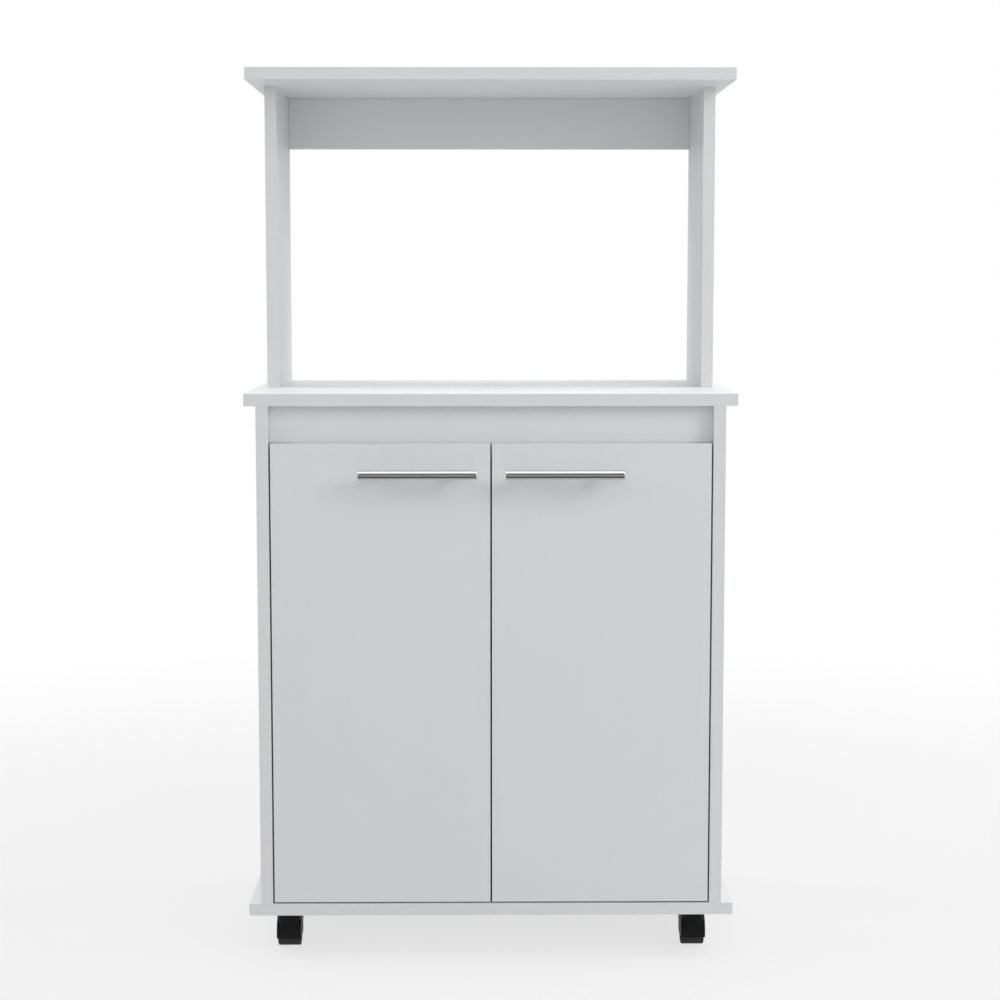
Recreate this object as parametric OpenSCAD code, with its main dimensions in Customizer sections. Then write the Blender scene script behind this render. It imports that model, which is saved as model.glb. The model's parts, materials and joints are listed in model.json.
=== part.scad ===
// Microwave cabinet on casters: an open bay over a cupboard with two inset doors.
// The front faces -Y and +Z is up. The origin is on the floor, in the middle of the whole outline.

/* [Carcass] */
// Width of the counter and of the other two overhanging boards
cabinet_w = 600; // [500:1:900]
// Depth of the counter, front to back
cabinet_d = 350; // [320:1:500]
// Thickness of every board
board_t = 15; // [15:0.5:22]
// How far the wide boards stand out past the sides
overhang = 14.5; // [10:0.5:40]

/* [Open bay] */
// Clear height from the counter to the top board
bay_h = 380; // [250:1:500]
// Depth of the two uprights, measured from the back
upright_d = 195; // [150:1:300]
// Depth of the top board, measured from the back
top_d = 295; // [220:1:320]
// Height of the rail at the back of the bay
back_rail_h = 67.5; // [50:0.5:150]

/* [Cupboard] */
// Clear height from the bottom board to the counter
cupboard_h = 617.5; // [480:0.5:800]
// Height of the recess over the doors
recess_h = 45.5; // [40:0.5:60]
// Height of the rail behind the recess
front_rail_h = 64; // [62:0.5:150]
// Space between the closed doors and the rail behind them
rail_gap = 1; // [1:0.5:20]
// Thickness of the hardboard back
back_t = 3; // [2.5:0.5:6]
// Gap round each door
door_gap = 2; // [1.8:0.1:3]
// Depth of the inner shelf
shelf_d = 270; // [200:1:280]
// Side play of the inner shelf
shelf_gap = 1; // [0.5:0.1:1.5]
// Height of the shelf's underside over the bottom board, at the middle pin hole
shelf_h = 290; // [250:1:360]
// Distance between pin holes
pin_pitch = 64; // [32:1:80]

/* [Handles] */
// Length of the bar
bar_len = 143; // [110:1:200]
// Diameter of the bar
bar_dia = 12; // [10:0.5:14]
// How far the bar stands out from the door in all
bar_reach = 35; // [28:0.5:45]
// Distance between the two posts
post_pitch = 91; // [64:1:96]
// Diameter of a post
post_dia = 8; // [6:0.5:9]
// Distance from the door's free edge to the bar's end
bar_side = 16.5; // [10:0.5:60]
// Distance from the door's top edge to the middle of the bar
bar_drop = 36; // [20:0.5:90]

/* [Hinges] */
// Diameter of the hinge cup
cup_dia = 35; // [35:0.5:37]
// Depth of the hinge cup in the door
cup_depth = 12; // [11.5:0.1:12.5]
// Distance from the door's edge to the cup
cup_edge = 4; // [3:0.5:5]
// Distance from the door's edge to the hinge pin
pin_edge = 11; // [10.5:0.1:13]
// Diameter of the hinge pin
hinge_pin_dia = 2.4; // [2:0.1:2.6]
// Distance from each end of the door to the middle of a cup
hinge_end = 95; // [70:1:150]
// Width of the hinge arm's neck
neck_w = 12; // [8:0.5:13]
// Thickness of the hinge arm's steel
arm_t = 2; // [1.5:0.1:2.5]
// Distance from the arm's crossing to the middle of the mounting plate
plate_back = 31; // [28:1:60]

/* [Casters] */
// Height from the floor to the bottom board
caster_h = 52; // [50:0.5:60]
// Diameter of a wheel
wheel_dia = 40; // [34:0.5:42]
// Width of a wheel's tread
wheel_w = 28; // [18:1:32]
// Distance from the swivel axis to the axle
trail = 12; // [10:0.5:16]
// Distance from the board's end to a swivel axis
caster_side = 46; // [42:0.5:80]
// Distance from the board's front or back to a swivel axis
caster_end = 38; // [38:0.5:80]
// Diameter of the axle
axle_dia = 5; // [4:0.5:6]
// Diameter of the kingpin
kingpin_dia = 8; // [6:0.5:9]
// Side of the square mounting plate
plate_side = 38; // [36:0.5:44]
// Thickness of the mounting plate
plate_t = 2.5; // [2:0.1:3]
// Thickness of the hood's shell
hood_t = 2.4; // [1.8:0.1:2.6]

/* [Fixings] */
// Diameter of a wood dowel
dowel_dia = 8; // [6:0.5:8]
// Length of a wood dowel
dowel_len = 30; // [24:1:36]
// Diameter of a cam lock
cam_dia = 15; // [12:0.5:16]
// Thickness of a cam lock
cam_t = 12; // [10:0.5:13]
// Distance from a board's end to the middle of a cam lock
cam_end = 24; // [20:0.5:34]
// Length of a furniture screw
screw_len = 50; // [40:1:60]
// Diameter of a nail's shank
nail_dia = 1.5; // [1:0.1:2]
// Number of nails down each side of the back
nail_count = 8; // [4:1:12]
// Diameter of a shelf pin
shelf_pin_dia = 5; // [4:0.5:6]

/* [Hidden] */
$fn = 48;

// Colours of the finishes
melamine = [0.86, 0.87, 0.88];
hardboard = [0.52, 0.4, 0.28];
satin_steel = [0.72, 0.72, 0.73];
zinc = [0.66, 0.66, 0.64];
black_plastic = [0.08, 0.08, 0.085];
white_plastic = [0.92, 0.92, 0.92];
beech = [0.78, 0.63, 0.44];

// Clearances: a push fit, a turning fit and the space between faces that pass each other
push_fit = 0.04;
turning_fit = 0.1;
seat_gap = 0.1;
swing_gap = 0.6;
top_gap = 0.2;
// A cut runs this far past the face that it opens
past = 1;

// Heights of the boards
bottom_z = caster_h;
side_z = bottom_z + board_t;
counter_z = side_z + cupboard_h;
deck_z = counter_z + board_t;
top_z = deck_z + bay_h;
// Places of the sides, across the width
half_w = cabinet_w / 2;
outer_x = half_w - overhang;
inner_x = outer_x - board_t;
mid_x = inner_x + board_t / 2;
// Places from front to back, with zero at the flush fronts
panel_d = cabinet_d - back_t;
upright_y = cabinet_d - upright_d;
top_y = cabinet_d - top_d;
front_rail_y = board_t + rail_gap;
back_rail_y = cabinet_d - board_t;
back_rail_z = top_z - back_rail_h;
front_rail_z = counter_z - front_rail_h;
// The outline runs from the handles to the back, and its middle is the origin
middle_y = (cabinet_d - bar_reach) / 2;

// Doors
door_x = inner_x - door_gap;
door_w = inner_x - 1.5 * door_gap;
door_z = side_z + door_gap;
door_h = cupboard_h - recess_h - door_gap;
door_top = door_z + door_h;

// Handles
bar_y = bar_dia / 2 - bar_reach;
bar_z = door_top - bar_drop;
bar_end = door_gap / 2 + bar_side;
bar_mid = bar_end + bar_len / 2;
post_seat = 3;
handle_screw_dia = 4;
handle_head_dia = 8;
handle_head_t = 2.2;
handle_grip = 9;
bar_bevel = 0.5;

// Hinges, measured from the side's inner face, from the front and from the cup's middle height
hinge_zs = [door_z + hinge_end, door_top - hinge_end];
cup_wall = 1.2;
cup_floor = 0.6;
cup_u = door_gap + cup_edge + cup_dia / 2;
pin_u = door_gap + pin_edge;
eye_wall = 0.9;
eye_gap = 0.2;
eye_r = hinge_pin_dia / 2 + eye_wall;
pin_v = board_t - cup_depth + cup_floor + eye_gap + eye_r;
flange_t = 1.2;
flange_rim = 1.5;
flange_dia = cup_dia + 2 * flange_rim;
ear_dia = 13;
ear_pitch = 48;
// The arm crosses over at least this far behind the closed door
cross_back = 6;
// The door's back corner swings on this radius round the pin
corner_swing = norm([pin_edge, board_t - pin_v]);
leg_u = pin_u + corner_swing + swing_gap;
cross_v = max(pin_v + corner_swing + swing_gap, board_t + cross_back);
neck_t = 2;
arm_w = 15;
arm_len = 52;
arm_u0 = 2.2;
arm_u1 = 13;
plate_v = cross_v + plate_back;
wing_t = 1.6;
wing_w = 17;
wing_h = 46;
wing_pitch = 32;
dome_h = arm_u1 - arm_t - seat_gap;
dome_w = 9;
dome_l = 34;
small_screw_dia = 3.5;
small_head_dia = 7;
small_head_t = 1.8;
small_screw_len = 11;
arm_screw_dia = 4;
arm_head_dia = 7.5;
arm_head_t = 2;
arm_screw_in = 5;
adjuster_back = 8;
adjuster_out = 1.5;
arm_slot_gap = 0.5;

// Casters
wheel_r = wheel_dia / 2;
hood_gap = 1;
hood_r = wheel_r + hood_gap + hood_t;
cheek_gap = 0.3;
cheek_t = 1;
hood_w = wheel_w + 2 * (cheek_gap + cheek_t);
bulge_r = 15;
bulge_t = 0.4;
bulge_slope = 2;
// The hood's lower edge, below the axle at the front and rising at the back
hood_low = 6;
// The boss under the plate is nearly as wide as the hood, with round sides
boss_dia = 22;
boss_inset = 0.4;
boss_x = (hood_w - boss_dia) / 2 - boss_inset;
swivel_gap = 0.3;
kingpin_lip = 2;
kingpin_head_dia = kingpin_dia + 2 * kingpin_lip;
kingpin_head_t = 1.5;
kingpin_wheel_gap = 0.7;
kingpin_head_gap = 0.3;
kingpin_head_z = wheel_r + kingpin_wheel_gap
    + sqrt(pow(wheel_r, 2) - pow(trail - kingpin_head_dia / 2, 2));
plate_z = caster_h - plate_t;
boss_h = plate_z - swivel_gap - wheel_r;
plate_corner = 4;
plate_hole_edge = 5;
plate_hole = plate_side / 2 - plate_hole_edge;
hub_r = 7;
rim_t = 4;
wheel_recess = 6;
tread_bevel = 1.2;

// Fixings
screw_dia = 5;
neck_dia = 7;
screw_head_dia = 10;
screw_head_t = 1.2;
hex_w = 4;
hex_deep = 3;
cover_dia = 13;
cover_t = 0.4;
bottom_screw_end = 75;
rail_screw_edge = 15;
front_screw_edge = 12;
bolt_end = 40;
bolt_dia = 6;
bolt_head_dia = 7.5;
bolt_head_t = 2.5;
bolt_into = 11;
cam_slot_l = 6;
cam_slot_w = 1.2;
cam_slot_t = 1.5;
cam_cover_rim = 1.5;
nail_head_dia = 4;
nail_head_t = 0.8;
nail_len = 20;
nail_end = 30;
pin_out = 9;
pin_in = 9;
pin_collar = 1;
pin_front = 32;

// Rows of fixings, from front to back
bottom_screw_ys = [bottom_screw_end, panel_d / 2, panel_d - bottom_screw_end];
bolt_ys = [upright_y + bolt_end, panel_d - bolt_end];
front_bolt_y = bolt_end + front_rail_y;
single_bolts = concat([[front_bolt_y, counter_z]], [for (y = bolt_ys) [y, top_z]]);
side_dowel_y = (front_bolt_y + bolt_ys[0]) / 2;
upright_dowel_y = upright_y + upright_d / 2;
back_rail_zs = [back_rail_z + rail_screw_edge, top_z - rail_screw_edge];
front_rail_zs = [door_top + top_gap + front_screw_edge, counter_z - front_screw_edge];
shelf_y = panel_d - shelf_gap - shelf_d;
pin_ys = [shelf_y + pin_front, panel_d - pin_front];
pin_z = side_z + shelf_h - shelf_pin_dia / 2 - seat_gap;
nail_step = (cupboard_h - 2 * nail_end) / (nail_count - 1);
nail_zs = [for (i = [0:nail_count - 1]) side_z + nail_end + i * nail_step];
caster_x = half_w - caster_side;
caster_ys = [caster_end, cabinet_d - caster_end];

// Moves a piece from the flush fronts to the middle of the outline
module placed() translate([0, -middle_y, 0]) children();

// Pieces are drawn for the left side, and the right side is their mirror image
module on_right() mirror([1, 0, 0]) children();
module on_both() {
    children();
    on_right() children();
}

// Round bars that start at a point and run along an axis
module rod_x(at, dia, len) translate(at) rotate([0, 90, 0]) cylinder(d = dia, h = len);
module rod_y(at, dia, len) translate(at) rotate([-90, 0, 0]) cylinder(d = dia, h = len);
module rod_z(at, dia, len) translate(at) cylinder(d = dia, h = len);

// A furniture screw that points along +Z, with its head flush at zero
module furniture_screw() {
    difference() {
        union() {
            cylinder(d = screw_head_dia, h = screw_head_t);
            translate([0, 0, screw_head_t])
                cylinder(d1 = screw_head_dia, d2 = neck_dia, h = (screw_head_dia - neck_dia) / 2);
            cylinder(d = neck_dia, h = board_t - seat_gap);
            cylinder(d = screw_dia, h = screw_len);
        }
        translate([0, 0, -past]) cylinder(d = hex_w, h = hex_deep + past, $fn = 6);
    }
}

// The hole that the screw needs: a seat through the first board and a pilot in the second
module screw_seat() {
    translate([0, 0, -past]) cylinder(d = screw_head_dia + push_fit, h = screw_head_t + past);
    translate([0, 0, screw_head_t])
        cylinder(d1 = screw_head_dia + push_fit, d2 = neck_dia + push_fit,
            h = (screw_head_dia - neck_dia) / 2);
    cylinder(d = neck_dia + push_fit, h = board_t + past);
}
module screw_pilot() translate([0, 0, board_t - past])
    cylinder(d = screw_dia + push_fit, h = screw_len - board_t + 2 * past);

// A thin white disc that is stuck over a screw's head
module screw_cover() translate([0, 0, -cover_t]) cylinder(d = cover_dia, h = cover_t);

// The places of the furniture screws on the left, each with +Z into the joint
module at_bottom_screws() for (y = bottom_screw_ys)
    translate([-mid_x, y, bottom_z]) children();
module at_back_rail_screws() for (z = back_rail_zs)
    translate([-outer_x, back_rail_y + board_t / 2, z]) rotate([0, 90, 0]) children();
module at_front_rail_screws() for (z = front_rail_zs)
    translate([-outer_x, front_rail_y + board_t / 2, z]) rotate([0, 90, 0]) children();

// Cam locks sit in the inner faces, near the counter and near the top board
module at_upper_cams() for (y = bolt_ys, z = [deck_z + cam_end, top_z - cam_end])
    translate([-inner_x, y, z]) children();
module at_lower_cams() for (y = concat([front_bolt_y], bolt_ys))
    translate([-inner_x, y, counter_z - cam_end]) children();
module cam_hole() rotate([0, -90, 0]) translate([0, 0, -past])
    cylinder(d = cam_dia + push_fit, h = cam_t + seat_gap + past);
module cam_lock() rotate([0, -90, 0]) {
    difference() {
        cylinder(d = cam_dia, h = cam_t);
        translate([0, 0, board_t / 2]) rotate([0, 90, 0])
            translate([0, 0, -cam_dia]) cylinder(d = bolt_head_dia + 2 * turning_fit, h = 2 * cam_dia);
        for (turn = [0, 90]) rotate(turn) translate([-cam_slot_l / 2, -cam_slot_w / 2, -past])
            cube([cam_slot_l, cam_slot_w, cam_slot_t + past]);
    }
}
module cam_cover() rotate([0, 90, 0]) cylinder(d = cam_dia + 2 * cam_cover_rim, h = cover_t);

// Bores for the bolts and dowels on the left. A double bolt passes through the counter, and a single
// one ends in the board over it: one at the counter's front and two at the top board
module double_bolt_bores() for (y = bolt_ys)
    rod_z([-mid_x, y, counter_z - cam_end], bolt_dia + turning_fit, board_t + 2 * cam_end);
module single_bolt_bores() for (place = single_bolts)
    rod_z([-mid_x, place[0], place[1] - cam_end], bolt_dia + turning_fit, cam_end + bolt_into);
module dowel_bore(y, z) rod_z([-mid_x, y, z - dowel_len / 2 - seat_gap], dowel_dia + push_fit,
    dowel_len + 2 * seat_gap);
// A dowel reaches a little past the middle of the board that lies flat
dowel_past_middle = 1;
dowel_in_counter = board_t / 2 + dowel_past_middle;
side_dowel_z = counter_z + dowel_in_counter - dowel_len / 2;
upright_dowel_z = deck_z - dowel_in_counter + dowel_len / 2;
top_dowel_z = top_z + dowel_in_counter - dowel_len / 2;
module carcass_dowel_bores() {
    dowel_bore(side_dowel_y, side_dowel_z);
    dowel_bore(upright_dowel_y, upright_dowel_z);
    dowel_bore(upright_dowel_y, top_dowel_z);
}

module top_board() color(melamine) difference() {
    translate([-half_w, top_y, top_z]) cube([cabinet_w, top_d, board_t]);
    on_both() {
        single_bolt_bores();
        dowel_bore(upright_dowel_y, top_dowel_z);
    }
}

module upright() color(melamine) difference() {
    translate([-outer_x, upright_y, deck_z]) cube([board_t, upright_d, bay_h]);
    at_back_rail_screws() screw_seat();
    at_upper_cams() cam_hole();
    double_bolt_bores();
    single_bolt_bores();
    carcass_dowel_bores();
}

module back_rail() color(melamine) difference() {
    translate([-inner_x, back_rail_y, back_rail_z]) cube([2 * inner_x, board_t, back_rail_h]);
    on_both() at_back_rail_screws() screw_pilot();
}

module counter_board() color(melamine) difference() {
    translate([-half_w, 0, counter_z]) cube([cabinet_w, cabinet_d, board_t]);
    on_both() {
        double_bolt_bores();
        single_bolt_bores();
        carcass_dowel_bores();
    }
}

module side_panel() color(melamine) difference() {
    translate([-outer_x, 0, side_z]) cube([board_t, panel_d, cupboard_h]);
    at_bottom_screws() screw_pilot();
    at_front_rail_screws() screw_seat();
    at_lower_cams() cam_hole();
    double_bolt_bores();
    single_bolt_bores();
    carcass_dowel_bores();
    for (y = pin_ys, step = [-1:1])
        rod_x([-inner_x - pin_in - seat_gap, y, pin_z + step * pin_pitch],
            shelf_pin_dia + push_fit, pin_in + seat_gap + past);
    at_hinges() at_wing_screws() rod_x([-small_screw_len, 0, 0], small_screw_dia + push_fit,
        small_screw_len + past);
    at_nails() rod_y([0, back_t - nail_len - seat_gap, 0], nail_dia + push_fit, nail_len);
}

module bottom_board() color(melamine) difference() {
    translate([-half_w, 0, bottom_z]) cube([cabinet_w, cabinet_d, board_t]);
    on_both() at_bottom_screws() screw_seat();
    at_casters() at_plate_screws() rod_z([0, 0, caster_h - past], small_screw_dia + push_fit,
        small_screw_len + past + seat_gap);
}

module front_rail() color(melamine) difference() {
    translate([-inner_x, front_rail_y, front_rail_z]) cube([2 * inner_x, board_t, front_rail_h]);
    on_both() {
        at_front_rail_screws() screw_pilot();
        // The doors' back corners swing through the rail's lower corners
        translate([-inner_x - past, front_rail_y - past, front_rail_z - past])
            cube([leg_u + past, board_t + 2 * past, door_top + top_gap - front_rail_z + past]);
    }
}

module back_panel() color(hardboard) difference() {
    translate([-outer_x, panel_d, side_z]) cube([2 * outer_x, back_t, cupboard_h]);
    on_both() at_nails() {
        rod_y([0, -past, 0], nail_dia + push_fit, back_t + 2 * past);
        rod_y([0, back_t - nail_head_t, 0], nail_head_dia + push_fit, nail_head_t + past);
    }
}

module inner_shelf() color(melamine)
    translate([shelf_gap - inner_x, shelf_y, side_z + shelf_h])
        cube([2 * (inner_x - shelf_gap), shelf_d, board_t]);

module shelf_pins() color(zinc) on_both() for (y = pin_ys) {
    rod_x([-inner_x - pin_in, y, pin_z], shelf_pin_dia, pin_in + pin_out);
    rod_x([-inner_x, y, pin_z - seat_gap], shelf_pin_dia + 2 * pin_collar, shelf_gap - 2 * seat_gap);
}

module wood_dowels() color(beech) on_both() {
    for (place = [[side_dowel_y, side_dowel_z], [upright_dowel_y, upright_dowel_z],
            [upright_dowel_y, top_dowel_z]])
        rod_z([-mid_x, place[0], place[1] - dowel_len / 2], dowel_dia, dowel_len);
}

// The double bolts pass through the counter and join a cam in the side to a cam in the upright
module cam_bolts() color(zinc) on_both() {
    for (y = bolt_ys) {
        rod_z([-mid_x, y, counter_z - cam_end], bolt_dia, board_t + 2 * cam_end);
        for (z = [counter_z - cam_end, deck_z + cam_end - bolt_head_t])
            rod_z([-mid_x, y, z], bolt_head_dia, bolt_head_t);
    }
    for (place = single_bolts) translate([-mid_x, place[0], place[1] - cam_end]) {
        cylinder(d = bolt_dia, h = cam_end + bolt_into - seat_gap);
        cylinder(d = bolt_head_dia, h = bolt_head_t);
    }
}

module cam_locks() color(zinc) on_both() {
    at_upper_cams() cam_lock();
    at_lower_cams() cam_lock();
}

module cam_covers() color(white_plastic) on_both() at_upper_cams() cam_cover();

module furniture_screws() color(zinc) on_both() {
    at_bottom_screws() furniture_screw();
    at_back_rail_screws() furniture_screw();
    at_front_rail_screws() furniture_screw();
}

module screw_covers() color(white_plastic) on_both() {
    at_back_rail_screws() screw_cover();
    at_front_rail_screws() screw_cover();
}

module at_nails() for (z = nail_zs) translate([-mid_x, panel_d, z]) children();
module back_nails() color(zinc) on_both() at_nails() {
    rod_y([0, back_t - nail_len, 0], nail_dia, nail_len);
    rod_y([0, back_t - nail_head_t, 0], nail_head_dia, nail_head_t);
}

// Hinge pieces are drawn from the side's inner face, the front plane and the cup's middle height
module at_hinges() for (z = hinge_zs) translate([-inner_x, 0, z]) children();
module at_wing_screws() for (w = [-1, 1]) translate([0, plate_v, w * wing_pitch / 2]) children();
module at_ear_screws() for (w = [-1, 1]) translate([cup_u, 0, w * ear_pitch / 2]) children();

module hinge_plates() color(zinc) on_both() at_hinges() difference() {
    union() {
        translate([0, plate_v - wing_w / 2, -wing_h / 2]) cube([wing_t, wing_w, wing_h]);
        translate([0, plate_v - dome_l / 2, -dome_w / 2]) cube([dome_h, dome_l, dome_w]);
    }
    at_wing_screws() rod_x([-past, 0, 0], small_screw_dia + push_fit, wing_t + 2 * past);
    rod_x([dome_h - arm_screw_in - seat_gap, plate_v, 0], arm_screw_dia + push_fit, dome_h);
}

module hinge_plate_screws() color(zinc) on_both() at_hinges() at_wing_screws() {
    rod_x([seat_gap - small_screw_len, 0, 0], small_screw_dia, small_screw_len + wing_t);
    rod_x([wing_t, 0, 0], small_head_dia, small_head_t);
}

// The arm curls from the pin round the door's back corner and runs back along the side
module arm_neck() linear_extrude(neck_w, center = true) difference() {
    union() {
        translate([pin_u, pin_v]) circle(eye_r);
        translate([pin_u, pin_v - neck_t / 2]) square([leg_u - pin_u, neck_t]);
        translate([leg_u, pin_v + neck_t / 2]) square([neck_t, cross_v - pin_v - neck_t / 2]);
        translate([leg_u, pin_v + neck_t / 2]) intersection() {
            circle(neck_t);
            translate([0, -neck_t]) square(neck_t);
        }
        translate([arm_u0, cross_v]) square([leg_u - arm_u0, neck_t]);
        translate([leg_u, cross_v]) intersection() {
            circle(neck_t);
            square(neck_t);
        }
    }
    translate([pin_u, pin_v]) circle(d = hinge_pin_dia + turning_fit);
}
module arm_channel() difference() {
    translate([arm_u0, cross_v, -arm_w / 2]) cube([arm_u1 - arm_u0, arm_len, arm_w]);
    translate([arm_u0 - past, cross_v + neck_t, -arm_w / 2 + arm_t])
        cube([arm_u1 - arm_u0 - arm_t + past, arm_len, arm_w - 2 * arm_t]);
    rod_x([arm_u1 - arm_t - past, plate_v, 0], arm_screw_dia + 2 * arm_slot_gap,
        arm_t + 2 * past);
    rod_x([arm_u1 - arm_t - past, cross_v + adjuster_back, 0], arm_screw_dia + push_fit,
        arm_t + 2 * past);
}
module hinge_arms() color(zinc) on_both() at_hinges() {
    arm_neck();
    arm_channel();
}

// One screw clamps the arm to the plate, and the other sets its height over it
module hinge_arm_screws() color(zinc) on_both() at_hinges() {
    rod_x([dome_h - arm_screw_in, plate_v, 0], arm_screw_dia, arm_u1 - dome_h + arm_screw_in);
    rod_x([arm_u1, plate_v, 0], arm_head_dia, arm_head_t);
    rod_x([arm_u1 - arm_t - adjuster_out, cross_v + adjuster_back, 0], arm_screw_dia,
        arm_t + 2 * adjuster_out);
}

module door() color(melamine) difference() {
    translate([-door_x, 0, door_z]) cube([door_w, board_t, door_h]);
    at_hinges() {
        rod_y([cup_u, board_t - cup_depth - push_fit, 0], cup_dia + push_fit, cup_depth + past);
        at_ear_screws() rod_y([0, board_t - small_screw_len, 0], small_screw_dia + push_fit,
            small_screw_len + past);
    }
    at_posts() rod_y([0, -past, 0], handle_screw_dia + push_fit, board_t + 2 * past);
}

module hinge_cups() color(zinc) at_hinges() difference() {
    union() {
        rod_y([cup_u, board_t - cup_depth, 0], cup_dia, cup_depth + flange_t);
        rod_y([cup_u, board_t, 0], flange_dia, flange_t);
        translate([cup_u - ear_dia / 2, board_t, -ear_pitch / 2]) cube([ear_dia, flange_t, ear_pitch]);
        at_ear_screws() rod_y([0, board_t, 0], ear_dia, flange_t);
    }
    rod_y([cup_u, board_t - cup_depth + cup_floor, 0], cup_dia - 2 * cup_wall, cup_depth + past);
    at_ear_screws() rod_y([0, board_t - past, 0], small_screw_dia + push_fit, flange_t + 2 * past);
    hinge_pin(push_fit);
}

module hinge_cup_screws() color(zinc) at_hinges() at_ear_screws() {
    rod_y([0, board_t - small_screw_len + seat_gap, 0], small_screw_dia, small_screw_len + flange_t);
    rod_y([0, board_t + flange_t, 0], small_head_dia, small_head_t);
}

// The pin's ends sit in the cup's wall and stay inside its outer face
pin_half = sqrt(pow(cup_dia / 2, 2) - pow(cup_u - pin_u + hinge_pin_dia / 2, 2)) - seat_gap;
module hinge_pin(extra = 0) rod_z([pin_u, pin_v, -pin_half - extra / 2],
    hinge_pin_dia + extra, 2 * pin_half + extra);
module hinge_pins() color(zinc) at_hinges() hinge_pin();

module at_posts() for (side = [-1, 1])
    translate([-bar_mid + side * post_pitch / 2, 0, bar_z]) children();
module handle_bar() color(satin_steel) difference() {
    translate([-bar_mid, bar_y, bar_z]) rotate([0, 90, 0]) rotate_extrude() polygon([
        [0, -bar_len / 2], [bar_dia / 2 - bar_bevel, -bar_len / 2],
        [bar_dia / 2, bar_bevel - bar_len / 2], [bar_dia / 2, bar_len / 2 - bar_bevel],
        [bar_dia / 2 - bar_bevel, bar_len / 2], [0, bar_len / 2]
    ]);
    at_posts() rod_y([0, bar_y + bar_dia / 2 - post_seat, 0], post_dia + push_fit, bar_dia);
}
module handle_posts() color(satin_steel) at_posts() difference() {
    rod_y([0, bar_y + bar_dia / 2 - post_seat, 0], post_dia, post_seat - bar_y - bar_dia / 2);
    rod_y([0, -handle_grip - seat_gap, 0], handle_screw_dia + push_fit, handle_grip + past);
}
module handle_screws() color(zinc) at_posts() {
    rod_y([0, -handle_grip, 0], handle_screw_dia, handle_grip + board_t);
    rod_y([0, board_t, 0], handle_head_dia, handle_head_t);
}

// Caster pieces are drawn round their swivel axis, on the floor
module at_caster(x, y) translate([x, y, 0]) children();
module at_casters() for (x = [-caster_x, caster_x], y = caster_ys) at_caster(x, y) children();
module at_plate_screws() for (x = [-plate_hole, plate_hole], y = [-plate_hole, plate_hole])
    translate([x, y, 0]) children();

module caster_plates() color(zinc) at_casters() difference() {
    union() {
        translate([plate_corner - plate_side / 2, -plate_side / 2, plate_z])
            cube([plate_side - 2 * plate_corner, plate_side, plate_t]);
        translate([-plate_side / 2, plate_corner - plate_side / 2, plate_z])
            cube([plate_side, plate_side - 2 * plate_corner, plate_t]);
        for (x = [-1, 1], y = [-1, 1])
            rod_z([x * (plate_side / 2 - plate_corner), y * (plate_side / 2 - plate_corner), plate_z],
                2 * plate_corner, plate_t);
    }
    at_plate_screws() rod_z([0, 0, plate_z - past], small_screw_dia + push_fit, plate_t + 2 * past);
    rod_z([0, 0, plate_z - past], kingpin_dia + push_fit, plate_t + 2 * past);
}

module caster_kingpins() color(zinc) at_casters() {
    rod_z([0, 0, kingpin_head_z], kingpin_dia, caster_h - kingpin_head_z);
    rod_z([0, 0, kingpin_head_z], kingpin_head_dia, kingpin_head_t);
}

module caster_screws() color(zinc) at_casters() at_plate_screws() {
    rod_z([0, 0, plate_z], small_screw_dia, plate_t + small_screw_len);
    rod_z([0, 0, plate_z - small_head_t], small_head_dia, small_head_t);
}

module caster_hood() color(black_plastic) difference() {
    union() {
        translate([0, trail, wheel_r]) difference() {
            union() {
                rod_x([-hood_w / 2, 0, 0], 2 * hood_r, hood_w);
                for (side = [0, 1]) mirror([side, 0, 0]) translate([hood_w / 2, 0, 0])
                    rotate([0, 90, 0]) cylinder(r1 = bulge_r, r2 = bulge_r - bulge_slope, h = bulge_t);
            }
            translate([-hood_w, 0, 0]) rotate([90, 0, 90]) linear_extrude(2 * hood_w)
                polygon([[-2 * hood_r, -hood_low], [hood_low, -hood_low], [2 * hood_r, 2 * hood_r],
                    [2 * hood_r, -2 * hood_r], [-2 * hood_r, -2 * hood_r]]);
        }
        for (x = [-boss_x, boss_x]) rod_z([x, 0, wheel_r], boss_dia, boss_h);
        translate([-boss_x, -boss_dia / 2, wheel_r]) cube([2 * boss_x, boss_dia, boss_h]);
    }
    translate([0, trail, wheel_r]) {
        rod_x([-wheel_w / 2 - cheek_gap, 0, 0], 2 * (wheel_r + hood_gap), wheel_w + 2 * cheek_gap);
        rod_x([-hood_w, 0, 0], axle_dia + push_fit, 2 * hood_w);
    }
    rod_z([0, 0, wheel_r], kingpin_dia + turning_fit, plate_z);
    rod_z([0, 0, wheel_r], kingpin_head_dia + 2 * kingpin_head_gap,
        kingpin_head_z + kingpin_head_t + turning_fit - wheel_r);
}

module caster_axle() color(satin_steel)
    rod_x([-hood_w / 2, trail, wheel_r], axle_dia, hood_w);

module caster_wheel() color(black_plastic) translate([-wheel_w / 2, trail, wheel_r])
    rotate([0, 90, 0]) rotate_extrude() polygon([
        [(axle_dia + turning_fit) / 2, 0], [hub_r, 0], [hub_r, wheel_recess],
        [wheel_r - rim_t, wheel_recess], [wheel_r - rim_t, 0], [wheel_r - tread_bevel, 0],
        [wheel_r, tread_bevel], [wheel_r, wheel_w - tread_bevel], [wheel_r - tread_bevel, wheel_w],
        [wheel_r - rim_t, wheel_w], [wheel_r - rim_t, wheel_w - wheel_recess],
        [hub_r, wheel_w - wheel_recess], [hub_r, wheel_w], [(axle_dia + turning_fit) / 2, wheel_w]
    ]);

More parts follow.
